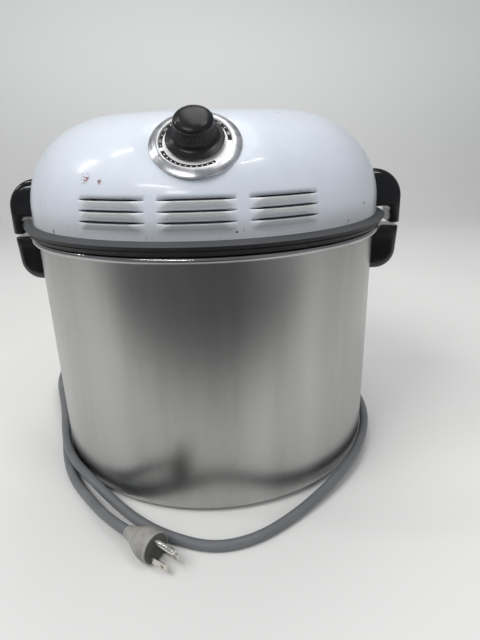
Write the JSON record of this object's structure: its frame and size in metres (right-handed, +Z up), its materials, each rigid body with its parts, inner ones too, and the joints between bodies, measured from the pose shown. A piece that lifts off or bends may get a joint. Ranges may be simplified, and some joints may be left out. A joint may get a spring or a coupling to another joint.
{
  "type": "deep fryer",
  "caption": "Round countertop deep fryer: drawn aluminium kettle with side handles, lift-off domed electric head with louvres and a dial knob, wire basket inside, mains cord laid round it.",
  "frame": {"origin": "centre of the kettle's flat base, on the surface that it stands on", "axes": "+Z up along the kettle's axis, -Y towards the dial and the user, +X towards the right-hand handles"},
  "size_m": [0.4119, 0.5253, 0.3411],
  "materials": {
    "kettle_aluminium": "satin, lightly brushed",
    "black_phenolic": "glossy moulded",
    "zinc_steel": "zinc plated",
    "white_enamel": "glossy enamel, slightly worn",
    "gasket_rubber": "matt",
    "plate_steel": "plain sheet",
    "dial_aluminium": "spun bright, dark printed band",
    "thermostat_case": "moulded",
    "sensor_copper": "plain drawn tube",
    "element_sheath": "darkened by heat",
    "terminal_ceramic": "plain ceramic",
    "terminal_brass": "plated",
    "wire_sleeve": "woven sleeve",
    "relief_rubber": "matt",
    "cord_grey": "satin",
    "plug_grey": "satin, stained",
    "basket_wire": "bright wire"
  },
  "bodies": {
    "kettle": {"kettle": "kettle_aluminium", "kettle_handle_left": "black_phenolic", "kettle_handle_right": "black_phenolic", "kettle_handle_screws": "zinc_steel", "power_cord": "cord_grey", "plug_body": "plug_grey", "plug_blades": "terminal_brass", "plug_ground_pin": "terminal_brass"},
    "head": {"head_cover": "white_enamel", "rim_gasket": "gasket_rubber", "splash_plate": "plate_steel", "cover_brackets": "plate_steel", "splash_plate_screws": "zinc_steel", "head_handle_left": "black_phenolic", "head_handle_right": "black_phenolic", "head_handle_screws": "zinc_steel", "dial_plate": "dial_aluminium", "thermostat_body": "thermostat_case", "thermostat_nut": "zinc_steel", "sensing_bulb": "sensor_copper", "bulb_stem": "sensor_copper", "bulb_gland": "zinc_steel", "capillary_tube": "sensor_copper", "heating_element": "element_sheath", "element_nuts": "zinc_steel", "terminal_insulators": "terminal_ceramic", "element_terminals": "terminal_brass", "terminal_block": "terminal_ceramic", "lead_wires": "wire_sleeve", "strain_relief": "relief_rubber", "cord_inlet": "cord_grey"},
    "knob": {"control_knob": "black_phenolic", "thermostat_shaft": "zinc_steel"},
    "basket": {"basket": "basket_wire"},
    "bail": {"bail_handle": "basket_wire"}
  },
  "joints": [
    {"name": "head_lift", "type": "slide", "parent": "kettle", "child": "head", "axis": [0, 0, 1], "range_m": [0, 0.48]},
    {"name": "knob_turn", "type": "hinge", "parent": "head", "child": "knob", "pos_m": [0, -0.13773, 0.31146], "axis": [0, -0.6626, 0.749], "range_deg": [-300, 0]},
    {"name": "basket_lift", "type": "slide", "parent": "kettle", "child": "basket", "axis": [0, 0, 1], "range_m": [0, 0.24]},
    {"name": "bail_swing", "type": "hinge", "parent": "basket", "child": "bail", "pos_m": [0, 0, 0.1103], "axis": [1, 0, 0], "range_deg": [0, 180]}
  ],
  "couplings": [
    {"joint": "basket_lift", "follows": "head_lift", "ratio": 0.5}
  ]
}
